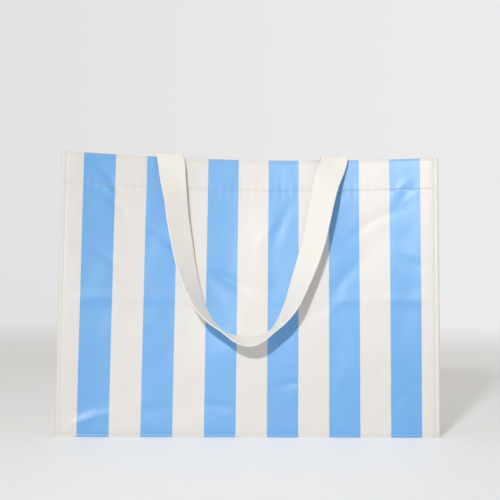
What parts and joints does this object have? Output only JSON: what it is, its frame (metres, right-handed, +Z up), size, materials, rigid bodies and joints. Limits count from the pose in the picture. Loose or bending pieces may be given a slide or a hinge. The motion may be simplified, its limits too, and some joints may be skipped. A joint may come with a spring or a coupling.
{
  "type": "striped carry-all bag",
  "caption": "Wide upright carry-all bag of striped woven sheet with folded side gussets, a faced open rim and two webbing loop handles.",
  "frame": {"origin": "on the floor, under the middle of the bag's base", "axes": "+Z up to the mouth, -Y towards the front panel, +X along the bag's width, to the right when seen from the front"},
  "size_m": [0.53, 0.2178, 0.3905],
  "materials": {
    "striped_weave": "coated woven plastic, blue and off-white stripes, soft sheen",
    "plain_weave": "coated woven plastic, off-white, soft sheen",
    "webbing": "matt woven webbing, off-white"
  },
  "bodies": {
    "bag": {"front_panel": "striped_weave", "back_panel": "striped_weave", "left_gusset": "plain_weave", "right_gusset": "plain_weave", "base_panel": "plain_weave", "front_facing": "plain_weave", "back_facing": "plain_weave", "left_facing": "plain_weave", "right_facing": "plain_weave", "front_handle_left_end": "webbing", "front_handle_right_end": "webbing", "back_handle_left_end": "webbing", "back_handle_right_end": "webbing"},
    "front_handle": {"front_handle_loop": "webbing"},
    "back_handle": {"back_handle_loop": "webbing"}
  },
  "joints": [
    {"name": "front_handle_swing", "type": "hinge", "parent": "bag", "child": "front_handle", "pos_m": [0, -0.02401, 0.3875], "axis": [-1, 0, 0], "range_deg": [0, 155]},
    {"name": "back_handle_swing", "type": "hinge", "parent": "bag", "child": "back_handle", "pos_m": [0, 0.02401, 0.3875], "axis": [1, 0, 0], "range_deg": [0, 155]}
  ]
}
